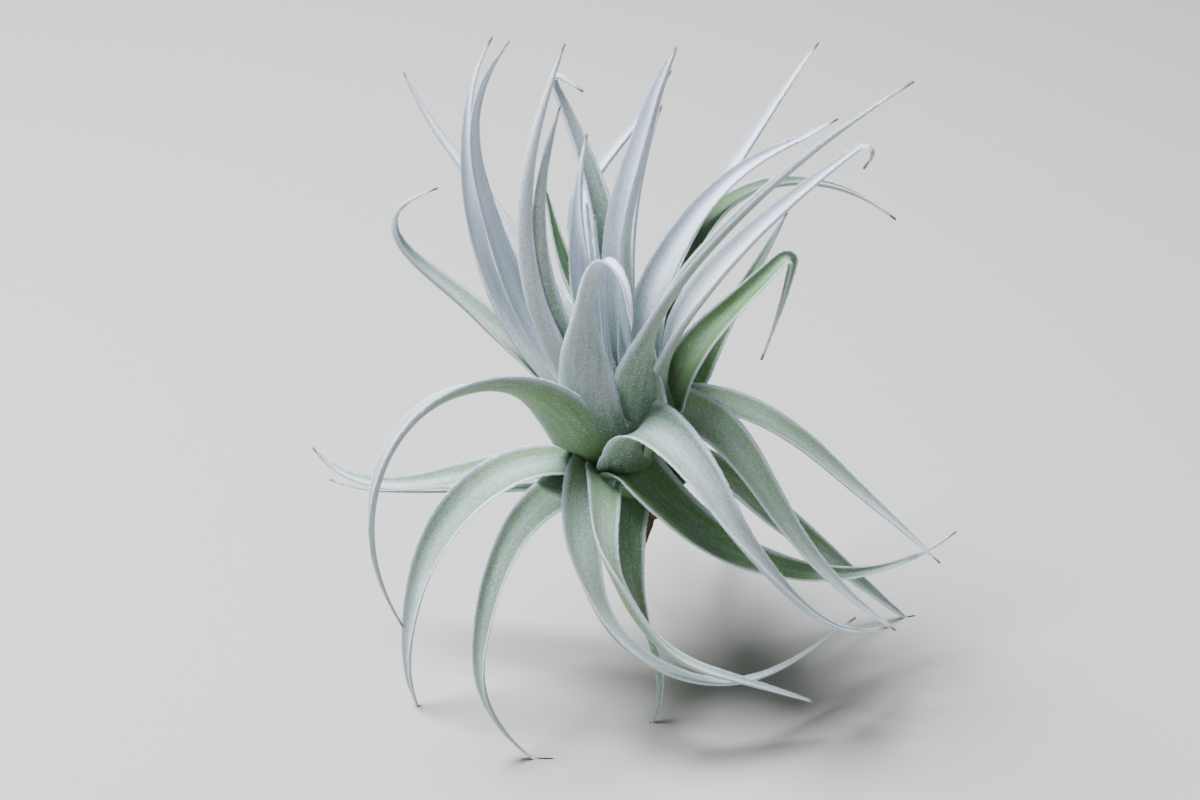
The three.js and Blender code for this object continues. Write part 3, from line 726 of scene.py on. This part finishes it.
def grow_scales(name, lines, finish, seed, material):
    """Felt scales strewn over a leaf. Each is a flat closed spear of four triangles: three corners just
    under the skin, and a point that leans towards the leaf's tip and stands off it, further on the
    margins. They are as dense as the felt is thick, so they are also fewer down in the bulb, where the
    felt is thinned as painted shade."""
    rng = np.random.default_rng(seed)
    reach = np.r_[0, np.cumsum(np.diff(lines["run"]) * (lines["width"][1:] + lines["width"][:-1]) / 2)]
    edge_reach = lines["run"] - lines["run"][0]
    face_count, edge_count = int(2 * FACE_SCALES * reach[-1]), int(2 * EDGE_SCALES * edge_reach[-1])
    stations = np.arange(len(reach))
    index = np.r_[
        np.interp(rng.random(face_count) * reach[-1], reach, stations),
        np.interp(rng.random(edge_count) * edge_reach[-1], edge_reach, stations),
    ]
    on_edge = np.arange(len(index)) >= face_count
    rim = SCALE["rim"]
    u = np.where(on_edge, 1 - rim * rng.random(len(index)) ** 2, rng.uniform(0, 1 - rim, len(index)))
    u *= rng.choice([-1, 1], len(index))
    side = rng.choice([-1, 1], len(index))
    s = np.interp(index, stations, lines["s"])
    first_s, last_s = SCALE["grown"]
    keep = (rng.random(len(index)) < felt_amount(finish, s, u, side)) & (s < last_s) & (s > first_s)
    index, u, side, on_edge = index[keep], u[keep][:, None], side[keep][:, None], on_edge[keep][:, None]
    here = at_stations(lines, index)
    point, off = (value[:, 0] for value in on_leaf(here, u, side))
    size = rng.uniform(*SCALE["sizes"], (len(index), 1))
    along_leaf = unit(here["tangent"] + SCALE["scatter"] * rng.normal(size=(len(index), 3)))
    along_leaf = unit(along_leaf - off * np.sum(along_leaf * off, -1, keepdims=True))
    beside = np.cross(off, along_leaf)
    root = point - off * SCALE["sunk"]
    lift = np.where(on_edge, SCALE["edge_lift"], SCALE["lift"]) * size
    length = np.where(on_edge, SCALE["edge_length"], SCALE["length"]) * size
    half = SCALE["half_width"] * size
    corners = np.stack([
        root - along_leaf * half, root + beside * half, root - beside * half,
        root + along_leaf * length + off * (lift + SCALE["sunk"]),
    ], 1)
    corners = corners[corners[:, :, 2].min(1) + FOOT[2] > SCALE["clear"]]
    first = 4 * np.arange(len(corners))[:, None, None]
    faces = (first + np.array(SPEAR_FACES)).reshape(-1, 3)
    new_piece(name, corners.reshape(-1, 3), faces.tolist(), {}, material, flat_faces=True)


felt = felt_group()
outer_material = leaf_material("outer_leaf_felted", felt, FELT_LOOK)
inner_material = leaf_material("inner_leaf_felted", felt, {**FELT_LOOK, "Silver": (0.72, 0.77, 0.93, 1)})
scale_material = plain_material("silver_scales", (0.72, 0.79, 0.81), 0.6, sheen=0.2)
slots = {part["node"]: part["material_slot"] for part in frame["record"]["subparts"]}
for i, row in enumerate(LEAVES):
    node = f"leaf_{i + 1:02d}"
    slot = slots[node]
    material = outer_material if slot == "outer_leaf" else inner_material
    root_up, rank = FIRST_ROOT + i * ROOT_STEP, i / (len(LEAVES) - 1)
    lines = grow_leaf(f"{node}_blade", row, root_up, rank, material, node, slot)
    grow_scales(f"{node}_scales", lines, row["finish"], FIRST_SEED + i, scale_material)

# ---------------------------------------------------------------- the stem and the dried sheaths

STEM_RINGS, STEM_AROUND = 60, 48
BARK = {
    "under": 0.25,  # the bark's mean surface lies this far under the plain stem's
    "scar_depth": 0.22,
    "scar_pitch": 1.5,
    "scar_spirals": 2,
    "furrow_depth": 0.12,
    "furrows": 9,
    "furrow_twist": 0.8,  # radians for each millimetre up
}


def grow_stem(material):
    """The stem: a leaned cone with a chamfered foot and a rounded top. Leaf scars, a cubed sine that
    climbs it in spirals, and a sine of a few furrows ripple its radius."""
    up = np.linspace(0, 1, STEM_RINGS)[:, None] * STEM["length"]
    around = np.linspace(0, 2 * math.pi, STEM_AROUND, endpoint=False)[None, :]
    foot = np.minimum(STEM["foot_chamfer"] - up, STEM["foot_chamfer"]).clip(0)
    top = ((up - STEM["length"]) / STEM["top_rounding"] + 1).clip(0, 1)
    radius = stem_radius(up) - foot - (STEM["top_radius"] - STEM["top_flat"]) * top ** 2
    scars = np.sin(2 * math.pi * up / BARK["scar_pitch"] + BARK["scar_spirals"] * around) ** 3
    furrows = np.sin(BARK["furrows"] * around + BARK["furrow_twist"] * up)
    ripple = BARK["scar_depth"] * scars + BARK["furrow_depth"] * furrows
    radius = radius - BARK["under"] + ripple * (1 - top)
    drift = direction(0, STEM["lean_heading"]) * up[..., None] * lean_slope
    rings = drift + np.stack([radius * np.cos(around), radius * np.sin(around), up + 0 * around], -1)
    lofted("stem_bark", rings, {}, material, node="stem", slot="stem")


def grow_dry_sheath(i, material):
    """A dried sheath: a short blade, thin as paper, whose end is torn into points. Its last stations are
    pulled back by torn_depth * (0.9 + sin(5.3 u + 2.1 i) * cos(9.7 u + i)), so the tear differs from
    sheath to sheath."""
    heading = DRY_SHEATH["first_heading"] + i * DRY_SHEATH["turn"]
    throat = [heading, DRY_SHEATH["out"], DRY_SHEATH["up"]]
    row = leaf("old", throat, DRY_SHEATH["length"], DRY_SHEATH["width"], DRY_SHEATH["rise"], [heading])
    lines = midline(row, DRY_SHEATH["root_up"], 0)
    s = lines["s"]
    lines["thickness"] = np.full(len(s), DRY_SHEATH["thickness"])
    narrowed = row["width"] * (1 - DRY_SHEATH["narrowing"] * s.clip(0))
    lines["width"] = np.where(s > 0, narrowed, lines["width"])
    rings, u, _ = leaf_rings(lines)
    ragged = 0.9 + np.sin(5.3 * u + 2.1 * i) * np.cos(9.7 * u + i)
    torn = DRY_SHEATH["torn_depth"] * smooth(DRY_SHEATH["torn_from"], 1, s)[:, None] * ragged[None, :]
    rings = rings - torn[..., None] * lines["tangent"][:, None]
    name = f"dry_sheath_{i + 1:02d}"
    lofted(f"{name}_husk", rings, {}, material, node=name, slot="dry_leaf")


BARK_GRAIN_PER_METRE = (260.0, 260.0, 900.0)
HUSK_FIBRES_PER_METRE = (1500.0, 1500.0, 150.0)
grow_stem(husk_material("stem_bark", (0.25, 0.18, 0.10), (0.07, 0.05, 0.03), BARK_GRAIN_PER_METRE))
dry_material = husk_material("dry_husk", (0.42, 0.31, 0.19), (0.18, 0.11, 0.06), HUSK_FIBRES_PER_METRE)
for i in range(DRY_SHEATH["count"]):
    grow_dry_sheath(i, dry_material)

# ---------------------------------------------------------------- floor, light and camera

FLOOR_SIDE = 6.0  # metres
heart = (FOOT + np.array([0, 0, 30])) * MM  # the middle of the rosette


def look_along(piece, at, forward):
    """Puts a lamp or a camera at a place, facing a direction."""
    piece.location = Vector(at)
    piece.rotation_mode = "QUATERNION"
    piece.rotation_quaternion = (-Vector(forward)).to_track_quat("Z", "Y")
    bpy.context.scene.collection.objects.link(piece)


def area_light(name, rise, heading, distance, size, power, colour):
    """A round lamp that looks at the middle of the rosette. Its size and distance are in metres."""
    data = bpy.data.lights.new(name, "AREA")
    data.shape = "DISK"
    data.size = size
    data.energy = power
    data.color = colour
    away = direction(rise, heading)
    look_along(bpy.data.objects.new(name, data), heart + away * distance, -away)


floor_mesh = bpy.data.meshes.new("floor")
half = FLOOR_SIDE / 2
corners = [(-half, -half, 0), (half, -half, 0), (half, half, 0), (-half, half, 0)]
floor_mesh.from_pydata(corners, [], [(0, 1, 2, 3)])
floor_mesh.materials.append(plain_material("pale_floor", (0.46, 0.45, 0.43), 0.95))
floor = bpy.data.objects.new("floor", floor_mesh)
bpy.context.scene.collection.objects.link(floor)

area_light("key_light", rise=68, heading=172, distance=1.1, size=0.5, power=50, colour=(0.93, 0.97, 1.0))
area_light("front_light", rise=35, heading=-75, distance=1.4, size=0.9, power=1.5, colour=(1.0, 0.98, 0.95))

ROOM_COLOUR, ROOM_STRENGTH = (0.90, 0.95, 1, 1), 0.1
world = bpy.data.worlds.new("soft_room")
bpy.context.scene.world = world
world.use_nodes = True
background = world.node_tree.nodes["Background"]
background.inputs["Color"].default_value = ROOM_COLOUR
background.inputs["Strength"].default_value = ROOM_STRENGTH

CAMERA_RISE = 30.0
CAMERA_HEADING = -90
CAMERA_DISTANCE = 500.0
AIM = np.array([-9.7, 11.8, 20.5])  # the place in the middle of the picture, over the stem's foot
FOCAL_LENGTH = 66.7
SENSOR_WIDTH = 36.0

camera_data = bpy.data.cameras.new("camera")
camera_data.sensor_width = SENSOR_WIDTH
camera_data.lens = FOCAL_LENGTH
away = direction(CAMERA_RISE, CAMERA_HEADING)
camera = bpy.data.objects.new("camera", camera_data)
look_along(camera, (FOOT + AIM + away * CAMERA_DISTANCE) * MM, -away)
bpy.context.scene.camera = camera
